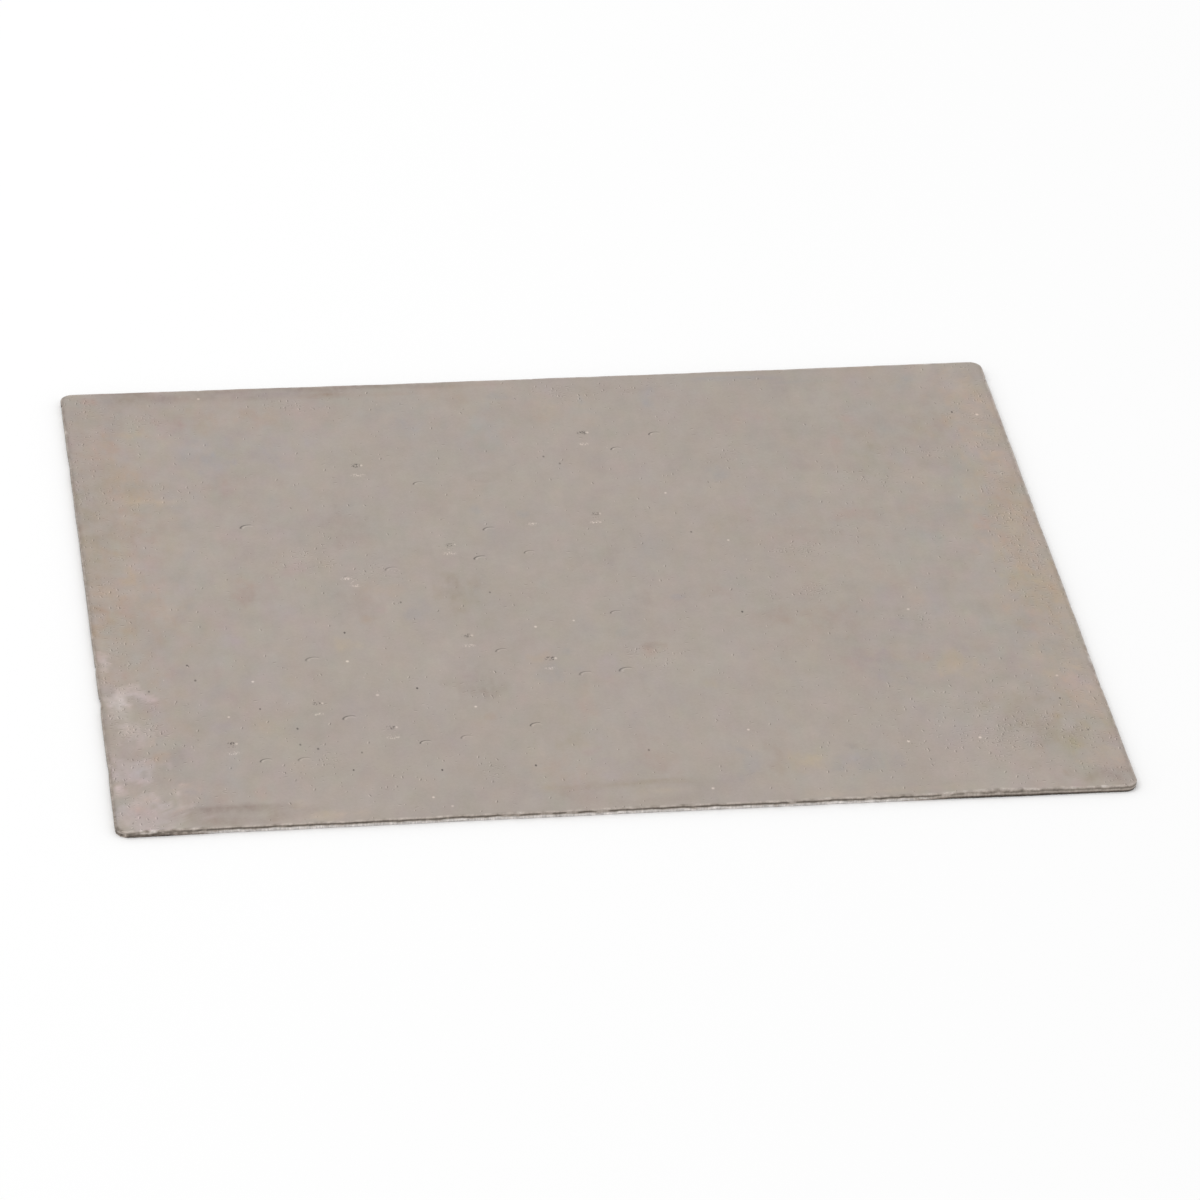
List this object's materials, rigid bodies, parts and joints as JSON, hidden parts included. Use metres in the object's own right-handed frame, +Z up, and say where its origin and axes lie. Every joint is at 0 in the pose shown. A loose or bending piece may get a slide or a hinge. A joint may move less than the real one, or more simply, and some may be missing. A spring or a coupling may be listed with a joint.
{
  "type": "nickel plate",
  "caption": "Thin flat rectangular plate of rolled nickel with eased corners and guillotine-sheared edges, kept as raw stock.",
  "frame": {"origin": "centre of the underside, on the surface that the plate lies on", "axes": "+X along the length, +Y along the width, +Z up out of the top face"},
  "size_m": [0.15, 0.125, 0.001],
  "materials": {
    "rolled_nickel": "matt, warm grey, rolled and annealed nickel with faint stains and small pits"
  },
  "bodies": {
    "root": {"nickel_plate": "rolled_nickel"}
  },
  "joints": []
}
